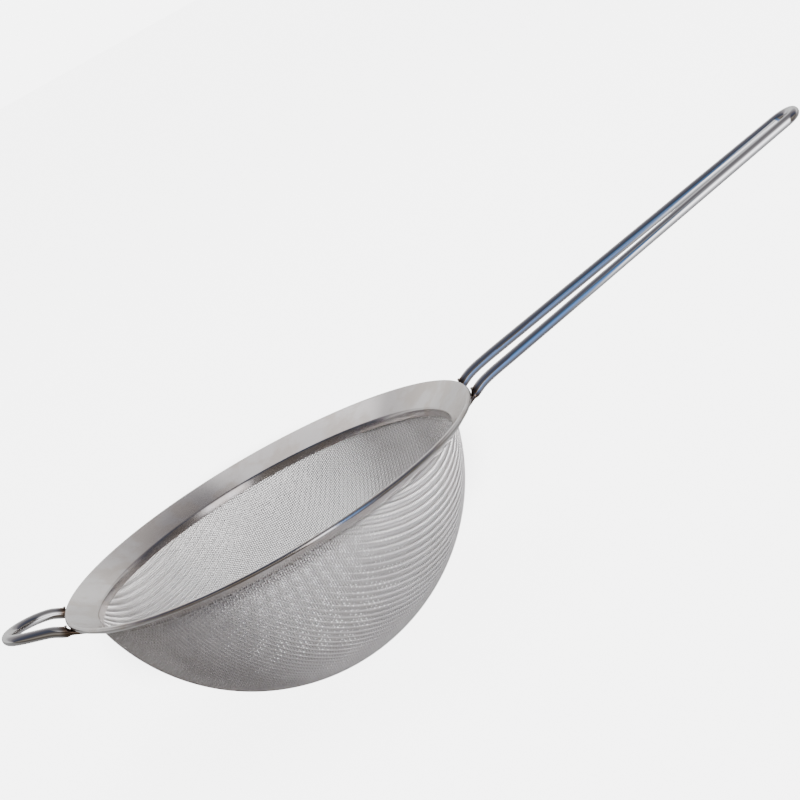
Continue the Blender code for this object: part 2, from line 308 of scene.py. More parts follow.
def wire_finish(name, shade):
    material, tree, shader = new_finish(name)
    place = object_coordinates(tree)
    stretched = object_coordinates(tree, ALONG_X_STRETCH)
    drawn = noise(tree, stretched, DRAWN_SCALE, detail=2.0)
    clouds = noise(tree, place, WIRE_CLOUD_SCALE)
    darker = tuple(WIRE_DARKEST * value for value in shade)
    steel = blend_colours(tree, clouds, shade, darker)
    x = split_vector(tree, place)[0]
    reach = math_node(tree, "ABSOLUTE", x, 0.0)
    heat = map_value(tree, reach, HEAT_END, HEAT_FADE, 1.0, 0.0)
    tree.links.new(blend_colours(tree, heat, steel, HEAT_TINT), shader.inputs["Base Color"])
    add_gloss(tree, shader, clouds, *WIRE_ROUGHNESS)
    add_bump(tree, shader, drawn, DRAWN_DEPTH, DRAWN_STRENGTH)
    return material


# %% [markdown]
# The gauze is bright drawn wire.  Its colour varies a little from patch to patch, where
# it was stretched and rubbed by the forming tool.  It is rougher than the thick wires,
# because each wire is also scratched by its neighbours.

# %% Gauze finish
GAUZE_COLOURS = ((0.64, 0.62, 0.615), (0.55, 0.53, 0.525))
GAUZE_PATCH_SCALE = 60.0
GAUZE_PATCH_RANGE = (0.35, 0.65)
GAUZE_ROUGHNESS = (0.46, 0.56)


def gauze_finish():
    material, tree, shader = new_finish("woven_gauze_steel")
    patches = noise(tree, object_coordinates(tree), GAUZE_PATCH_SCALE)
    shade = blend_colours(tree, map_value(tree, patches, *GAUZE_PATCH_RANGE), *GAUZE_COLOURS)
    tree.links.new(shade, shader.inputs["Base Color"])
    add_gloss(tree, shader, patches, *GAUZE_ROUGHNESS)
    return material


# %% [markdown]
# Weld metal is rough and burnt: nearly black brown, with small paler grains.

# %% Weld finish
WELD_COLOURS = ((0.07, 0.052, 0.045), (0.30, 0.25, 0.21))
WELD_GRAIN_SCALE = 2600.0
WELD_GRAIN_RANGE = (0.4, 0.66)
WELD_GRAIN_DEPTH = 0.06 * MM
WELD_GRAIN_STRENGTH = 0.6
WELD_ROUGHNESS = (0.30, 0.55)
HANDLE_SHADE = (0.74, 0.74, 0.745)
REST_SHADE = (0.70, 0.695, 0.69)


def weld_finish():
    material, tree, shader = new_finish("burnt_weld_steel")
    grains = noise(tree, object_coordinates(tree), WELD_GRAIN_SCALE, detail=4.0)
    shade = blend_colours(tree, map_value(tree, grains, *WELD_GRAIN_RANGE), *WELD_COLOURS)
    tree.links.new(shade, shader.inputs["Base Color"])
    add_gloss(tree, shader, grains, *WELD_ROUGHNESS)
    add_bump(tree, shader, grains, WELD_GRAIN_DEPTH, WELD_GRAIN_STRENGTH)
    return material


RIM_STEEL = rim_finish()
HANDLE_STEEL = wire_finish("polished_handle_steel", HANDLE_SHADE)
REST_STEEL = wire_finish("polished_rest_steel", REST_SHADE)
GAUZE_STEEL = gauze_finish()
WELD_STEEL = weld_finish()
print("finishes:", [item.name for item in bpy.data.materials][-5:])

# %% [markdown]
# ## The rim
#
# The rim is one thin strip folded round the gauze's edge.  Cut through, it is a narrow
# hook: a short collar hugs the inside of the gauze, the strip bends outwards into a
# sloping flange, folds back under itself at the outer edge, and its lip grips the gauze
# from below.  A lathe profile is the natural way to make it: draw the cut face once and
# turn it about the bowl's axis.

# %% Rim section
FLANGE_WIDTH = 7.4 * MM
FLANGE_ANGLE = math.radians(34.0)
FOLD_THICKNESS = 1.35 * MM
STRIP_THICKNESS = 0.3 * MM
COLLAR_THICKNESS = 0.45 * MM
COLLAR_DEPTH = 2.4 * MM
INNER_BEND_RADIUS = 0.9 * MM
GROOVE_BEND_RADIUS = 0.3 * MM
GROOVE_END = 1.1 * MM
LIP_RADIUS = 54.9 * MM
LIP_BEVEL = 0.4 * MM
EDGE_BEND = 0.12 * MM
CLEARANCE = 0.3 * MM
BOWL_RADIUS = 54.7 * MM
GAUZE_THICKNESS = 0.5 * MM
SPHERE_CENTRE = RIM_TOP + 6.2 * MM
FOLD_ROUNDNESS = 0.98
SEARCH_REACH = 12.0 * MM
SEARCH_HALVINGS = 60

half_fold = FOLD_THICKNESS / 2.0
fold_centre = (RIM_RADIUS - half_fold, RIM_TOP - half_fold)
bend_radius_at = RIM_RADIUS - FLANGE_WIDTH
FLANGE_RUN = ((fold_centre[0] - bend_radius_at - math.sin(FLANGE_ANGLE) * half_fold)
              / math.cos(FLANGE_ANGLE))
INNER_BEND = (bend_radius_at,
              fold_centre[1] - FLANGE_RUN * math.sin(FLANGE_ANGLE)
              + math.cos(FLANGE_ANGLE) * half_fold)
FOLD_END = FLANGE_RUN + half_fold


def flange_point(along, depth):
    """A point at a distance up the flange's slope and a depth below its top face."""
    cosine = math.cos(FLANGE_ANGLE)
    sine = math.sin(FLANGE_ANGLE)
    return (INNER_BEND[0] + along * cosine + depth * sine,
            INNER_BEND[1] + along * sine - depth * cosine)


def bowl_r(radius, z):
    """Distance from the axis to a sphere about the bowl's centre, at height z."""
    return math.sqrt(radius ** 2 - (z - SPHERE_CENTRE) ** 2)


def flange_meets_bowl(depth, radius):
    """Distance up the flange at which a line at this depth crosses a bowl sphere."""
    low = -SEARCH_REACH
    high = SEARCH_REACH
    for _ in range(SEARCH_HALVINGS):
        middle = (low + high) / 2.0
        r, z = flange_point(middle, depth)
        if r < bowl_r(radius, z):
            low = middle
        else:
            high = middle
    return low


def rounded(corners):
    """Closed outline through (r, z, bend radius, steps) corners, an arc at each."""
    points = []
    count = len(corners)
    for index, (r, z, bend, steps) in enumerate(corners):
        here = Vector((r, z))
        before = Vector(corners[index - 1][:2])
        after = Vector(corners[(index + 1) % count][:2])
        to_before = (before - here).normalized()
        to_after = (after - here).normalized()
        half_angle = to_before.angle(to_after) / 2.0
        reach = bend / math.tan(half_angle)
        centre = here + (to_before + to_after).normalized() * bend / math.sin(half_angle)
        start = here + to_before * reach - centre
        end = here + to_after * reach - centre
        sweep = math.copysign(math.pi - 2.0 * half_angle, start.x * end.y - start.y * end.x)
        for step in range(steps + 1):
            turn = sweep * step / steps
            cosine = math.cos(turn)
            sine = math.sin(turn)
            points.append((centre.x + start.x * cosine - start.y * sine,
                           centre.y + start.x * sine + start.y * cosine))
    return points


def rim_outline():
    """The cut face of the folded strip."""
    collar_outside = BOWL_RADIUS - GAUZE_THICKNESS - CLEARANCE
    collar_inside = collar_outside - COLLAR_THICKNESS
    foot = INNER_BEND[1] - COLLAR_DEPTH
    lip_along = (LIP_RADIUS - INNER_BEND[0]) / math.cos(FLANGE_ANGLE)
    groove_along = FOLD_END - GROOVE_END
    inner_depth = FOLD_THICKNESS - STRIP_THICKNESS
    outer_bend = half_fold * FOLD_ROUNDNESS
    return rounded([
        (bowl_r(collar_inside, foot), foot, EDGE_BEND, 4),
        (*flange_point(flange_meets_bowl(0.0, collar_inside), 0.0), INNER_BEND_RADIUS, 12),
        (*flange_point(FOLD_END, 0.0), outer_bend, 10),
        (*flange_point(FOLD_END, FOLD_THICKNESS), outer_bend, 10),
        (*flange_point(lip_along - LIP_BEVEL, FOLD_THICKNESS), EDGE_BEND, 3),
        (*flange_point(lip_along, inner_depth), EDGE_BEND, 3),
        (*flange_point(groove_along, inner_depth), GROOVE_BEND_RADIUS, 4),
        (*flange_point(groove_along, STRIP_THICKNESS), GROOVE_BEND_RADIUS, 4),
        (*flange_point(flange_meets_bowl(STRIP_THICKNESS, collar_outside),
                       STRIP_THICKNESS), INNER_BEND_RADIUS - STRIP_THICKNESS, 8),
        (bowl_r(collar_outside, foot), foot, EDGE_BEND, 4),
    ])


# %% [markdown]
# A hand-fed folding machine never leaves a perfect ring: the strip's slope wavers by a
# few hundredths of a millimetre.  That waver is far too small to see as shape, but it
# bends the reflections in the flange, so it is worth adding.

# %% Turn the rim
RIM_STEPS = 480
WAVER = 0.02 * MM
WAVES = ((1.0, 7.0, 0.6), (0.7, 12.0, 2.1), (0.5, 19.0, 4.0))
WAVE_TOTAL = 2.2
WAVER_FADES = (0.6 * FLANGE_WIDTH, 0.3 * FLANGE_WIDTH)


def make_rim():
    """Turn the cut face about the bowl's axis; the waver fades out at both edges."""
    outline = np.array(rim_outline())
    turn = np.linspace(0.0, math.tau, RIM_STEPS, endpoint=False)[:, None]
    wave = sum(size * np.sin(count * turn + start) for size, count, start in WAVES)
    wave = WAVER * wave / WAVE_TOTAL
    share = np.clip((outline[:, 0] - INNER_BEND[0]) / WAVER_FADES[0], 0.0, 1.0)
    share = share * np.clip((RIM_RADIUS - outline[:, 0]) / WAVER_FADES[1], 0.0, 1.0)
    r = np.broadcast_to(outline[None, :, 0], (RIM_STEPS, len(outline)))
    z = outline[None, :, 1] + wave * share[None, :]
    points = np.stack([r * np.cos(turn), r * np.sin(turn), z], axis=-1).reshape(-1, 3)
    faces = grid_faces(RIM_STEPS, len(outline), wrap_rows=True)
    return make_piece("rim_strip", points, faces, RIM_STEEL, "rim_ring")


rim = make_rim()
print("rim:", len(rim.data.polygons), "faces")

# %% [markdown]
# ## The gauze
#
# The gauze is a twill weave: each wire passes over two wires and under two, one step
# further along on the next wire.  That shift draws the slanting ribs that show on the
# cloth.  The flat cloth is then pressed into a bowl.  Woven wire hardly stretches, so the
# squares of the weave keep their side length and fold into diamonds instead.  Tailors and
# geometers call such a grid a Chebyshev net.
#
# It can be built one knot at a time.  Two wires cross at the bottom of the bowl and run
# straight up its walls.  Every other knot is the mirror image of the last corner of its
# diamond in the plane through the bowl's centre and the two knots beside it, which keeps
# all four sides equal.

# %% Net of the pressed cloth
WIRE_PITCH = 0.60 * MM
GAUZE_WIRE_RADIUS = 0.155 * MM
NET_RADIUS = BOWL_RADIUS - GAUZE_THICKNESS / 2.0
BRIM_DEPTH = FOLD_THICKNESS / 2.0
BRIM_ALONG = flange_meets_bowl(BRIM_DEPTH, NET_RADIUS)
BRIM_CORNER = flange_point(BRIM_ALONG, BRIM_DEPTH)
WALL_END = math.acos((SPHERE_CENTRE - BRIM_CORNER[1]) / NET_RADIUS)
BRIM_LENGTH = 3.2 * MM
NET_END = WALL_END + BRIM_LENGTH / NET_RADIUS
HALF_COUNT = int(NET_END * NET_RADIUS / WIRE_PITCH) + 2
TINY = 1e-9


def quarter_net():
    """Directions from the bowl's centre to the knots of one quarter of the cloth."""
    step = 2.0 * math.asin(WIRE_PITCH / 2.0 / NET_RADIUS)
    across = math.sin(step / 2.0)
    depth = math.sqrt(1.0 - across ** 2)
    net = np.zeros((HALF_COUNT, HALF_COUNT, 3))
    for index in range(HALF_COUNT):
        angle = step * (index + 0.5)
        net[index, 0] = (depth * math.sin(angle), across, -depth * math.cos(angle))
        net[0, index] = (across, depth * math.sin(angle), -depth * math.cos(angle))
    for total in range(2, 2 * HALF_COUNT - 1):
        i = np.arange(max(1, total - HALF_COUNT + 1), min(HALF_COUNT - 1, total - 1) + 1)
        j = total - i
        mirror = np.cross(net[i - 1, j], net[i, j - 1])
        mirror /= np.maximum(np.linalg.norm(mirror, axis=1, keepdims=True), TINY)
        corner = net[i - 1, j - 1]
        net[i, j] = corner - 2.0 * np.sum(corner * mirror, axis=1, keepdims=True) * mirror
    return net


def whole_net():
    """The quarter and its mirror images: the first index runs along X, the second along Y."""
    quarter = quarter_net()
    half = np.concatenate([quarter[::-1] * np.array([-1.0, 1.0, 1.0]), quarter], axis=0)
    return np.concatenate([half[:, ::-1] * np.array([1.0, -1.0, 1.0]), half], axis=1)


net = whole_net()
polar = np.arccos(np.clip(-net[..., 2], -1.0, 1.0))
inside_cloth = polar < NET_END
print("cloth:", net.shape[0], "x", net.shape[1], "wires,",
      int(inside_cloth.sum()), "crossings")

# %% [markdown]
# The knots so far lie on a sphere.  The real cloth differs in two places: the forming
# tool leaves a small flat at the bottom, which lets the bowl stand, and the cloth's edge
# turns outwards into the rim's fold.  Each knot gets its place on that true surface and
# the direction that points into the bowl.

# %% Knots on the formed cloth
BASE_WIRE_HEIGHT = 2.0 * GAUZE_WIRE_RADIUS + 0.005 * MM


def formed_knots():
    """Place and inward direction of every knot."""
    reach = np.maximum(np.hypot(net[..., 0], net[..., 1]), TINY)
    outward = np.stack([net[..., 0] / reach, net[..., 1] / reach,
                        np.zeros_like(reach)], axis=-1)
    upward = np.array([0.0, 0.0, 1.0])
    place = net * NET_RADIUS + upward * SPHERE_CENTRE
    place[..., 2] = np.maximum(place[..., 2], BASE_WIRE_HEIGHT)
    along = (polar - WALL_END) * NET_RADIUS
    r = BRIM_CORNER[0] + along * math.cos(FLANGE_ANGLE)
    z = BRIM_CORNER[1] + along * math.sin(FLANGE_ANGLE)
    brim_place = outward * r[..., None] + upward * z[..., None]
    brim_inward = upward * math.cos(FLANGE_ANGLE) - outward * math.sin(FLANGE_ANGLE)
    on_brim = (along > 0.0)[..., None]
    share = np.clip(0.5 + along / (2.0 * WIRE_PITCH), 0.0, 1.0)[..., None]
    inward = -net * (1.0 - share) + brim_inward * share
    inward /= np.linalg.norm(inward, axis=-1, keepdims=True)
    return np.where(on_brim, brim_place, place), inward


knot_place, knot_inward = formed_knots()
print("lowest knot %.2f mm" % (knot_place[..., 2][inside_cloth].min() / MM))

# %% [markdown]
# Now the wires.  At each knot a wire lies half a wire's thickness to one side of the
# cloth's middle, and the wire that crosses it lies to the other side.  The rule that
# picks the side is the twill: two over, two under, shifted by one.  Every wire is a round
# tube, because the highlights that run along real gauze come from round wires.  The wires
# are joined in four bundles each way, so that there are eight objects and not hundreds.

# %% Weave the wires
TWILL_REPEAT = 4
TUBE_SIDES = 6
BUNDLES = 4
FEWEST_KNOTS = 3
GAUZE_SHARP = 80.0


def twill_side(i, j):
    """+1 where a wire along X lies on the inside of a wire along Y, -1 elsewhere."""
    return np.where((i - j) % TWILL_REPEAT < TWILL_REPEAT // 2, 1.0, -1.0)


def wire_tube(centre, inward):
    """Points of a tube round the centre line, one ring for each knot."""
    along = np.gradient(centre, axis=0)
    side = np.cross(along, inward)
    side /= np.linalg.norm(side, axis=1, keepdims=True)
    lift = np.cross(side, along)
    lift /= np.linalg.norm(lift, axis=1, keepdims=True)
    angles = math.tau * np.arange(TUBE_SIDES) / TUBE_SIDES
    ring = (side[:, None, :] * np.cos(angles)[None, :, None]
            + lift[:, None, :] * np.sin(angles)[None, :, None])
    return (centre[:, None, :] + GAUZE_WIRE_RADIUS * ring).reshape(-1, 3)


def weave_bundle(name, wires, family):
    """The tubes of several neighbouring wires, joined into one piece."""
    points = []
    faces = []
    count = 0
    row = np.arange(net.shape[0])
    for wire in wires:
        same = np.full_like(row, wire)
        i, j = (row, same) if family == "x" else (same, row)
        keep = inside_cloth[i, j]
        i = i[keep]
        j = j[keep]
        if len(i) < FEWEST_KNOTS:
            continue
        side = twill_side(i, j) * (1.0 if family == "x" else -1.0)
        inward = knot_inward[i, j]
        centre = knot_place[i, j] + inward * side[:, None] * GAUZE_WIRE_RADIUS
        points.append(wire_tube(centre, inward))
        faces.extend(closed_tube_faces(len(i), TUBE_SIDES, count))
        count += len(i) * TUBE_SIDES
    return make_piece(name, np.concatenate(points), faces, GAUZE_STEEL, "mesh_bowl",
                      GAUZE_SHARP)


for family, label in (("x", "long"), ("y", "cross")):
    bundles = np.array_split(np.arange(net.shape[0]), BUNDLES)
    for number, wires in enumerate(bundles, start=1):
        bundle = weave_bundle(f"gauze_{label}_wires_{number}", wires, family)
        print(bundle.name, len(bundle.data.polygons), "faces")

# %% [markdown]
# ## The wires
#
# The handle and the rest loop are each one piece of wire.  Their ends are hammered flat on
# top and thinned below, so that they fit close under the flange.  A wire is made like the
# real one is bent: first its middle line, a smooth curve through a few points, and then a
# round section swept along that line.

# %% Wire helpers
TAB_TOP_HEIGHT = 0.45 * MM
TAB_TIP_SHARE = 0.25
TAB_WIDENING = 1.1
TAB_REACHES = (55.6, 57.5, 59.2)
FLAT_UNTIL = 59.4 * MM
ROUND_FROM = 60.3 * MM
SECTION_SIDES = 40


def smooth_step(value, low, high):
    """0 below low, 1 above high and a smooth rise between."""
    share = min(1.0, max(0.0, (value - low) / (high - low)))
    return share * share * (3.0 - 2.0 * share)


def smooth_curve(knots, steps):
    """A Catmull-Rom curve through the knots."""
    padded = [2.0 * knots[0] - knots[1], *knots, 2.0 * knots[-1] - knots[-2]]
    points = []
    for index in range(1, len(padded) - 2):
        a, b, c, d = padded[index - 1:index + 3]
        for step in range(steps):
            t = step / steps
            points.append(0.5 * (2.0 * b + (c - a) * t
                                 + (2.0 * a - 5.0 * b + 4.0 * c - d) * t ** 2
                                 + (3.0 * b - a - 3.0 * c + d) * t ** 3))
    points.append(knots[-1].copy())
    return points


def under_flange(reach, half_spacing):
    """Height of a wire end's middle line, from the rim's top, where it lies at this reach."""
    r = math.hypot(reach, half_spacing)
    depth = FOLD_THICKNESS + CLEARANCE + TAB_TOP_HEIGHT
    along = (r - INNER_BEND[0] - depth * math.sin(FLANGE_ANGLE)) / math.cos(FLANGE_ANGLE)
    return flange_point(along, depth)[1] - RIM_TOP


def sweep_wire(name, path, wire_radius, material, node):
    """Sweep a round section along the path, flat on top and thinned under the flange."""
    rings = []
    for index, point in enumerate(path):
        before = path[max(index - 1, 0)]
        after = path[min(index + 1, len(path) - 1)]
        tangent = (after - before).normalized()
        side = Vector((0.0, 0.0, 1.0)).cross(tangent).normalized()
        up = tangent.cross(side)
        share = smooth_step(abs(point.x), FLAT_UNTIL, ROUND_FROM)
        top_height = TAB_TOP_HEIGHT + (wire_radius - TAB_TOP_HEIGHT) * share
        taper = (abs(point.x) - TAB_REACHES[0] * MM) / (ROUND_FROM - TAB_REACHES[0] * MM)
        taper = min(1.0, max(0.0, taper))
        under_height = wire_radius * (TAB_TIP_SHARE + (1.0 - TAB_TIP_SHARE) * taper)
        half_width = wire_radius * (TAB_WIDENING + (1.0 - TAB_WIDENING) * share)
        for corner in range(SECTION_SIDES):
            angle = math.tau * (corner + 0.5) / SECTION_SIDES
            height = top_height if math.sin(angle) > 0.0 else under_height
            offset = side * math.cos(angle) * half_width + up * math.sin(angle) * height
            rings.append(tuple(point + offset))
    faces = closed_tube_faces(len(path), SECTION_SIDES)
    return make_piece(name, rings, faces, material, node)


def add_other_leg(leg):
    """A leg on the +Y side that ends on the middle plane, joined to its mirror image."""
    return leg + [Vector((point.x, -point.y, point.z)) for point in reversed(leg[:-1])]


# %% [markdown]
# The handle climbs from under the flange round the rim's edge, then runs straight with its
# legs drawing together, and ends in a round bend that can hang on a hook.  Only one leg
# is laid out; the other is its mirror image, as both come from one bending jig.

# %% Handle
HANDLE_WIRE_RADIUS = 1.4 * MM
HANDLE_ROOT_HALF_SPACING = 8.3 * MM
HANDLE_TIP_HALF_SPACING = 4.4 * MM
HANDLE_STRAIGHT_START = (72.8, 1.65)
HANDLE_TIP_REACH = 172.8 * MM
HANDLE_SLOPE = math.tan(math.radians(9.95))
HANDLE_CLIMB = ((60.3, -1.72), (61.2, -1.30), (63.2, -0.40), (66.0, 0.38), (69.2, 1.02),
                HANDLE_STRAIGHT_START)
HANDLE_CURVE_STEPS = 14
STRAIGHT_STEPS = 60
BEND_STEPS = 40


def handle_path():
    """The middle line of the handle: root, straight leg and half the end bend, mirrored."""
    start_x, start_z = (value * MM for value in HANDLE_STRAIGHT_START)
    end_x = HANDLE_TIP_REACH - HANDLE_WIRE_RADIUS - HANDLE_TIP_HALF_SPACING
    taper = (HANDLE_ROOT_HALF_SPACING - HANDLE_TIP_HALF_SPACING) / (end_x - start_x)

    def place(x, z):
        y = HANDLE_ROOT_HALF_SPACING - taper * max(0.0, x - start_x)
        return Vector((x, y, z))

    root = [place(x * MM, under_flange(x * MM, HANDLE_ROOT_HALF_SPACING))
            for x in TAB_REACHES]
    root += [place(x * MM, z * MM) for x, z in HANDLE_CLIMB]
    leg = smooth_curve(root, HANDLE_CURVE_STEPS)
    for step in range(1, STRAIGHT_STEPS + 1):
        x = start_x + (end_x - start_x) * step / STRAIGHT_STEPS
        leg.append(place(x, start_z + (x - start_x) * HANDLE_SLOPE))
    for step in range(1, BEND_STEPS + 1):
        turn = math.pi / 2.0 * step / BEND_STEPS
        x = end_x + HANDLE_TIP_HALF_SPACING * math.sin(turn)
        y = HANDLE_TIP_HALF_SPACING * math.cos(turn)
        leg.append(Vector((x, y, start_z + (x - start_x) * HANDLE_SLOPE)))
    return [point + Vector((0.0, 0.0, RIM_TOP)) for point in add_other_leg(leg)]


handle = sweep_wire("handle", handle_path(), HANDLE_WIRE_RADIUS, HANDLE_STEEL, "handle_wire")
print("handle:", len(handle.data.polygons), "faces")

# %% [markdown]
# The rest loop is the same idea on a smaller scale: half an ellipse of slightly thicker
# wire, tilted up a little, so that it rests on the far edge of a cup.  The curve gives the
# start of each leg; near the crown the ellipse is walked by angle, which keeps its
# points evenly spaced.

# %% Rest loop
REST_WIRE_RADIUS = 1.45 * MM
REST_HALF_SPACING = 9.85 * MM
REST_REACH = 76.6 * MM
REST_CENTRE = 59.2 * MM
REST_CLIMB = ((60.2, -1.62), (61.2, -1.15), (63.6, 0.10), (67.0, 1.05), (71.2, 1.85),
              (75.3, 2.40))
REST_CURVE_STEPS = 24
SPLIT_SHARE = 0.93


def rest_path():
    """The middle line of the rest loop: one leg up to the crown, mirrored."""
    reach = REST_REACH - REST_WIRE_RADIUS - REST_CENTRE
    heights = [Vector((x * MM, under_flange(x * MM, REST_HALF_SPACING)))
               for x in TAB_REACHES]
    heights += [Vector((x * MM, z * MM)) for x, z in REST_CLIMB]
    leg = []
    for x, z in smooth_curve(heights, REST_CURVE_STEPS):
        share = min(1.0, max(0.0, (x - REST_CENTRE) / reach))
        if share > SPLIT_SHARE:
            break
        leg.append(Vector((x, REST_HALF_SPACING * math.sqrt(1.0 - share ** 2), z)))
    last = leg[-1].copy()
    top = heights[-1].y
    start_turn = math.asin((last.x - REST_CENTRE) / reach)
    for step in range(1, BEND_STEPS + 1):
        turn = start_turn + (math.pi / 2.0 - start_turn) * step / BEND_STEPS
        x = REST_CENTRE + reach * math.sin(turn)
        share = (x - last.x) / (REST_CENTRE + reach - last.x)
        leg.append(Vector((x, REST_HALF_SPACING * math.cos(turn),
                           last.z + (top - last.z) * share)))
    return [Vector((-point.x, point.y, point.z + RIM_TOP)) for point in add_other_leg(leg)]


rest = sweep_wire("rest_loop_wire", rest_path(), REST_WIRE_RADIUS, REST_STEEL, "rest_loop")
print("rest loop:", len(rest.data.polygons), "faces")

# %% [markdown]
# ## Welds
#
# Each wire end is joined to the rim by a bead of weld metal in the notch between the
# flange's edge and the wire.  A bead is a drop that froze while it flowed, so it starts
# as an even drop and a few sine waves of different length make it lumpy.  The measured
# solids float a little above the wires; here each drop sinks until it sits on its wire.

# %% Weld beads
WELD_SEGMENTS = 64
WELD_RINGS = 40
WELD_LUMP = 0.14
BEAD_PHASE = 40.0
BEAD_SPREAD = np.array([1.4, 1.05, 1.1])
BEAD_SINK = 0.7 * MM


def make_bead(name, node):
    """A lumpy drop, a little larger than its CAD solid and sunk on to its wire."""
    low, high = (np.array(corner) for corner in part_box(node))
    middle = (low + high) / 2.0 - np.array([0.0, 0.0, BEAD_SINK])
    half = (high - low) / 2.0 * BEAD_SPREAD
    around = math.tau * np.arange(WELD_SEGMENTS) / WELD_SEGMENTS
    up = math.pi * (np.arange(WELD_RINGS) + 0.5) / WELD_RINGS
    up, around = np.meshgrid(up, around, indexing="ij")
    ball = np.stack([np.sin(up) * np.cos(around), np.sin(up) * np.sin(around),
                     np.cos(up)], axis=-1)
    phase = BEAD_PHASE * middle[1] / MM
    lump = (np.sin(5.0 * ball[..., 1] + 3.0 * ball[..., 0] + phase)
            + 0.6 * np.sin(9.0 * ball[..., 1] - 4.0 * ball[..., 2])
            + 0.4 * np.sin(13.0 * ball[..., 0] + 7.0 * ball[..., 1]))
    swell = 1.0 - WELD_LUMP * (0.5 + lump / 4.0)
    points = (middle + ball * half * swell[..., None]).reshape(-1, 3)
    faces = closed_tube_faces(WELD_RINGS, WELD_SEGMENTS)
    return make_piece(name, points, faces, WELD_STEEL, node)


for node in ("handle_weld_far", "handle_weld_near", "rest_weld_far", "rest_weld_near"):
    bead = make_bead(node + "_bead", node)
    print(bead.name, len(bead.data.polygons), "faces")

# %% [markdown]
# ## Studio
#
# Polished steel shows nothing but its surroundings, so the studio matters as much as the
# finish.  The strainer stands on a white table that glows, so that it stays even and white
# to the horizon.  The strainer's own shadow hardly shows on it, so a soft one is painted
# behind the bowl.  From the camera it only shows through the openings of the gauze, and
# makes them darker than the bright wires, which is how fine gauze looks.  From other
# sides it is a plain grey oval on the table, a little apart from the bowl.

# %% Floor
FLOOR_HALF = 100.0
FLOOR_GLOW = 5.3
SHADOW_GLOW = 1.6
SHADOW_CENTRE = (0.0, 165.0 * MM, 0.0)
SHADOW_HALF_SIZE = (78.0 * MM, 150.0 * MM, 1.0)
SHADOW_CORE = 0.6
TABLE_CLOUD_SCALE = 3.0
TABLE_WHITES = ((0.93, 0.93, 0.93), (0.95, 0.95, 0.95))
TABLE_ROUGHNESS = 0.9


def make_floor():
    """A large glowing square; mirror-like pieces look through it at the painted world."""
    material, tree, shader = new_finish("white_table", metallic=0.0)
    shader.inputs["Roughness"].default_value = TABLE_ROUGHNESS
    shader.inputs["Specular IOR Level"].default_value = 0.0
    place = object_coordinates(tree)
    shade = blend_colours(tree, noise(tree, place, TABLE_CLOUD_SCALE), *TABLE_WHITES)
    tree.links.new(shade, shader.inputs["Base Color"])
    shader.inputs["Emission Color"].default_value = (1.0, 1.0, 1.0, 1.0)
    offset = tree.nodes.new("ShaderNodeVectorMath")
    offset.operation = "SUBTRACT"
    offset.inputs[1].default_value = SHADOW_CENTRE
    tree.links.new(place, offset.inputs[0])
    stretch = tree.nodes.new("ShaderNodeVectorMath")
    stretch.operation = "DIVIDE"
    stretch.inputs[1].default_value = SHADOW_HALF_SIZE
    tree.links.new(offset.outputs["Vector"], stretch.inputs[0])
    away = tree.nodes.new("ShaderNodeVectorMath")
    away.operation = "LENGTH"
    tree.links.new(stretch.outputs["Vector"], away.inputs[0])
    glow = map_value(tree, away.outputs["Value"], SHADOW_CORE, 1.0, SHADOW_GLOW,
                     FLOOR_GLOW)
    tree.links.new(glow, shader.inputs["Emission Strength"])
    mesh = bpy.data.meshes.new("table_top")
    corners = [(-FLOOR_HALF, -FLOOR_HALF, 0.0), (FLOOR_HALF, -FLOOR_HALF, 0.0),
               (FLOOR_HALF, FLOOR_HALF, 0.0), (-FLOOR_HALF, FLOOR_HALF, 0.0)]
    mesh.from_pydata(corners, [], [(0, 1, 2, 3)])
    mesh.materials.append(material)
    floor = bpy.data.objects.new("table_top", mesh)
    bpy.context.scene.collection.objects.link(floor)
    floor.visible_glossy = False
    return floor


floor = make_floor()
print("table:", floor.name)

# %% [markdown]
# The walls of the studio are painted into the world as a band of colours by height, which
# is all that a round wire shows of a room.  Angles run from the horizon in front, over the
# top at 90 degrees, to the horizon behind at 180.  There are two bands: a dim room for
# most directions, and a pale window for directions towards the handle's end.  The
# camera itself sees plain white paper instead.

# %% World
DIM_COLOURS = (
    (-180, (0.50, 0.50, 0.50)),
    (-100, (0.34, 0.33, 0.33)),
    (-72, (0.20, 0.19, 0.185)),
    (-48, (0.11, 0.095, 0.085)),
    (-27, (0.24, 0.21, 0.18)),
    (-8, (0.40, 0.37, 0.34)),
    (11, (0.16, 0.145, 0.135)),
    (30, (0.10, 0.10, 0.12)),
    (50, (0.075, 0.085, 0.13)),
    (71, (0.11, 0.12, 0.16)),
    (95, (0.20, 0.19, 0.22)),
    (124, (0.46, 0.44, 0.46)),
    (150, (1.00, 1.00, 1.00)),
    (180, (1.00, 1.00, 1.00)),
)
PALE_COLOURS = (
    (-180, (0.50, 0.50, 0.50)),
    (-100, (0.46, 0.45, 0.47)),
    (-72, (0.70, 0.69, 0.72)),
    (-48, (1.15, 1.14, 1.18)),
    (-27, (2.60, 2.60, 2.70)),
    (-8, (4.50, 4.40, 4.60)),
    (11, (2.70, 2.65, 2.75)),
    (30, (0.80, 0.78, 0.82)),
    (50, (0.32, 0.315, 0.33)),
    (71, (0.23, 0.22, 0.23)),
    (95, (0.24, 0.23, 0.245)),
    (124, (0.44, 0.43, 0.45)),
    (150, (1.00, 1.00, 1.00)),
    (180, (1.00, 1.00, 1.00)),
)
TOWARDS_TIP = (0.05, 0.12)
PAST_TIP = (0.50, 0.65)
PAPER_WHITE = 6.2


def turn_share(tree, y, z):
    """The angle about the X axis from the front horizon, as 0 to 1 for -180 to 180."""
    front = math_node(tree, "MULTIPLY", y, -1.0)
    angle = math_node(tree, "ARCTAN2", z, front)
    return map_value(tree, angle, -math.pi, math.pi, smooth=False)


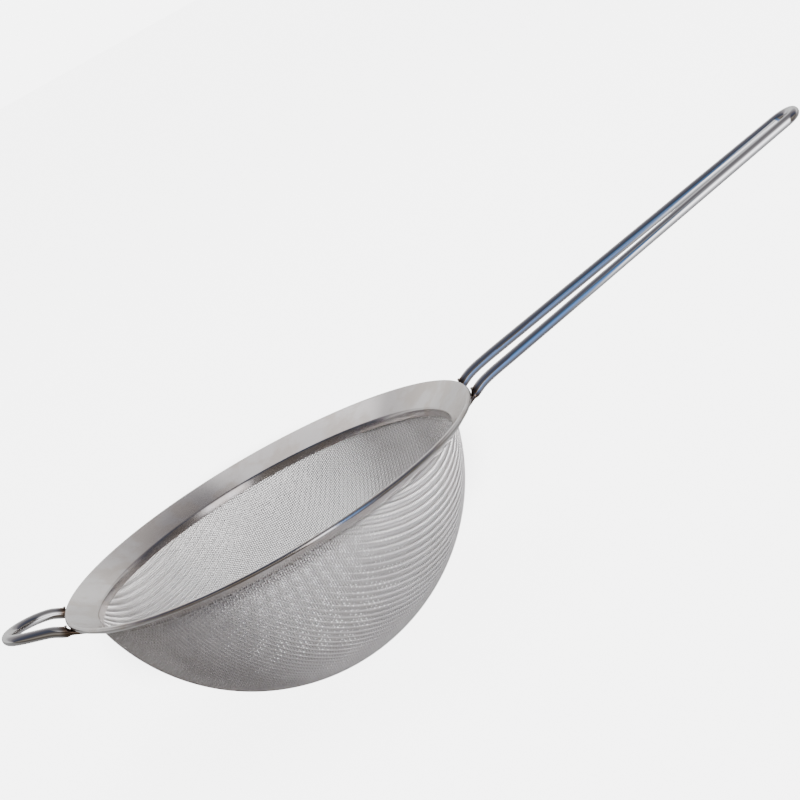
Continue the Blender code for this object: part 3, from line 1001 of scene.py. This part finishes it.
def colour_band(tree, share, stops):
    """A colour ramp whose stops are given by angle, in degrees from the front horizon."""
    ramp = tree.nodes.new("ShaderNodeValToRGB")
    ramp.color_ramp.interpolation = "EASE"
    elements = ramp.color_ramp.elements
    while len(elements) > 1:
        elements.remove(elements[-1])
    for number, (angle, colour) in enumerate(stops):
        spot = (angle + 180.0) / 360.0
        element = elements[0] if number == 0 else elements.new(spot)
        element.position = spot
        element.color = (*colour, 1.0)
    tree.links.new(share, ramp.inputs["Fac"])
    return ramp.outputs["Color"]


def make_world():
    """The painted room, with white paper for the camera's own rays."""
    world = bpy.data.worlds.new("studio")
    world.use_nodes = True
    bpy.context.scene.world = world
    tree = world.node_tree
    tree.nodes.clear()
    coordinates = tree.nodes.new("ShaderNodeTexCoord")
    x, y, z = split_vector(tree, coordinates.outputs["Generated"])
    share = turn_share(tree, y, z)
    pale_side = math_node(tree, "MULTIPLY", map_value(tree, x, *TOWARDS_TIP),
                          map_value(tree, x, *PAST_TIP, 1.0, 0.0))
    painted = blend_colours(tree, pale_side, colour_band(tree, share, DIM_COLOURS),
                            colour_band(tree, share, PALE_COLOURS))
    rays = tree.nodes.new("ShaderNodeLightPath")
    shown = blend_colours(tree, rays.outputs["Is Camera Ray"], painted, (PAPER_WHITE,) * 3)
    background = tree.nodes.new("ShaderNodeBackground")
    tree.links.new(shown, background.inputs["Color"])
    background.inputs["Strength"].default_value = 1.0
    output = tree.nodes.new("ShaderNodeOutputWorld")
    tree.links.new(background.outputs[0], output.inputs["Surface"])
    return world


world = make_world()
print("world:", world.name, "with", len(world.node_tree.nodes), "nodes")

# %% [markdown]
# A blue card stands in front of the handle, invisible to the camera.  It is bent round
# the handle's line, so that it gives each leg one long blue band that fades towards the
# tip.  It only shows in reflections, and only to metal within about 0.3 m of it, which
# keeps the blue off the rest loop.

# %% Blue card
CARD_RADIUS = 250.0 * MM
CARD_SIDES = (84.0 * MM, 186.0 * MM)
CARD_SOFT_EDGE = 26.0 * MM
CARD_HEIGHT = RIM_TOP + 8.0 * MM
CARD_ANGLES = (-100, 40)
CARD_RANGE = (292.0 * MM, 300.0 * MM)
CARD_STEPS = 48
CARD_COLOURS = (
    (-180, (0.30, 0.29, 0.30)),
    (-100, (0.26, 0.24, 0.26)),
    (-72, (0.24, 0.23, 0.27)),
    (-48, (0.25, 0.30, 0.42)),
    (-27, (0.30, 0.46, 0.86)),
    (-8, (0.27, 0.52, 1.12)),
    (11, (0.17, 0.35, 0.76)),
    (26, (0.09, 0.19, 0.34)),
    (40, (0.07, 0.12, 0.20)),
)


def make_card():
    """Part of a tube about the handle's line that glows with its own band of colours."""
    material = bpy.data.materials.new("blue_card")
    material.use_nodes = True
    tree = material.node_tree
    tree.nodes.clear()
    x, y, z = split_vector(tree, object_coordinates(tree))
    share = turn_share(tree, y, z)
    emission = tree.nodes.new("ShaderNodeEmission")
    tree.links.new(colour_band(tree, share, CARD_COLOURS), emission.inputs["Color"])
    clear = tree.nodes.new("ShaderNodeBsdfTransparent")
    fade = tree.nodes.new("ShaderNodeMixShader")
    right = map_value(tree, x, CARD_SIDES[1] - CARD_SOFT_EDGE / 2.0,
                      CARD_SIDES[1] + CARD_SOFT_EDGE / 2.0)
    rays = tree.nodes.new("ShaderNodeLightPath")
    far = map_value(tree, rays.outputs["Ray Length"], *CARD_RANGE)
    tree.links.new(math_node(tree, "MAXIMUM", right, far), fade.inputs["Fac"])
    tree.links.new(emission.outputs[0], fade.inputs[1])
    tree.links.new(clear.outputs[0], fade.inputs[2])
    output = tree.nodes.new("ShaderNodeOutputMaterial")
    tree.links.new(fade.outputs[0], output.inputs["Surface"])
    points = []
    for angle_number in range(CARD_STEPS + 1):
        turn = math.radians(CARD_ANGLES[0] + (CARD_ANGLES[1] - CARD_ANGLES[0])
                            * angle_number / CARD_STEPS)
        for x in (CARD_SIDES[0], CARD_SIDES[1] + CARD_SOFT_EDGE / 2.0):
            points.append((x, -CARD_RADIUS * math.cos(turn), CARD_RADIUS * math.sin(turn)))
    mesh = bpy.data.meshes.new("blue_card")
    mesh.from_pydata(points, [], grid_faces(CARD_STEPS + 1, 2, wrap_columns=False).tolist())
    mesh.materials.append(material)
    card = bpy.data.objects.new("blue_card", mesh)
    bpy.context.scene.collection.objects.link(card)
    card.location = (0.0, 0.0, CARD_HEIGHT)
    card.visible_camera = False
    card.visible_diffuse = False
    card.visible_shadow = False
    return card


card = make_card()
print("card:", card.name, "with", len(card.data.polygons), "faces")

# %% [markdown]
# Soft lamps do the rest.  A photographer shades one part and opens up another with small
# screens; here each lamp is told which pieces it reaches.  Two weak ones above and behind
# brighten the flange, one low at the right and one high in front give the round wires of
# the gauze their bright lines, and one evens out the table.

# %% Lamps
def soft_lamp(name, place, size, power):
    """A round area lamp that looks at the middle of the rim."""
    data = bpy.data.lights.new(name, "AREA")
    data.shape = "DISK"
    data.size = size
    data.energy = power
    lamp = bpy.data.objects.new(name, data)
    bpy.context.scene.collection.objects.link(lamp)
    lamp.location = place
    aim = Vector((0.0, 0.0, RIM_TOP)) - Vector(place)
    lamp.rotation_euler = aim.to_track_quat("-Z", "Y").to_euler()
    lamp.visible_camera = False
    return lamp


def light_only(lamp, items):
    """Let a lamp reach only these pieces."""
    group = bpy.data.collections.new(lamp.name + "_reach")
    for item in items:
        group.objects.link(item)
    lamp.light_linking.receiver_collection = group


gauze = [item for item in bpy.data.objects if item.name.startswith("gauze_")]
rim_and_beads = [item for item in bpy.data.objects
                 if item.name == "rim_strip" or item.name.endswith("_bead")]
LAMPS = (
    ("lamp_overhead", (-0.25, 0.35, 1.1), 0.8, 1.8, rim_and_beads),
    ("lamp_behind", (0.0, 0.9, 0.9), 1.2, 1.4, rim_and_beads),
    ("lamp_gauze_right", (1.3, -0.9, 0.14), 0.6, 105.0, gauze),
    ("lamp_gauze_front", (-0.3, -0.9, 1.4), 1.6, 27.0, gauze),
    ("lamp_table", (0.0, 0.0, 1.4), 1.5, 12.0, [floor]),
)
for name, place, size, power, items in LAMPS:
    light_only(soft_lamp(name, place, size, power), items)
    print(name, "reaches", len(items), "pieces")
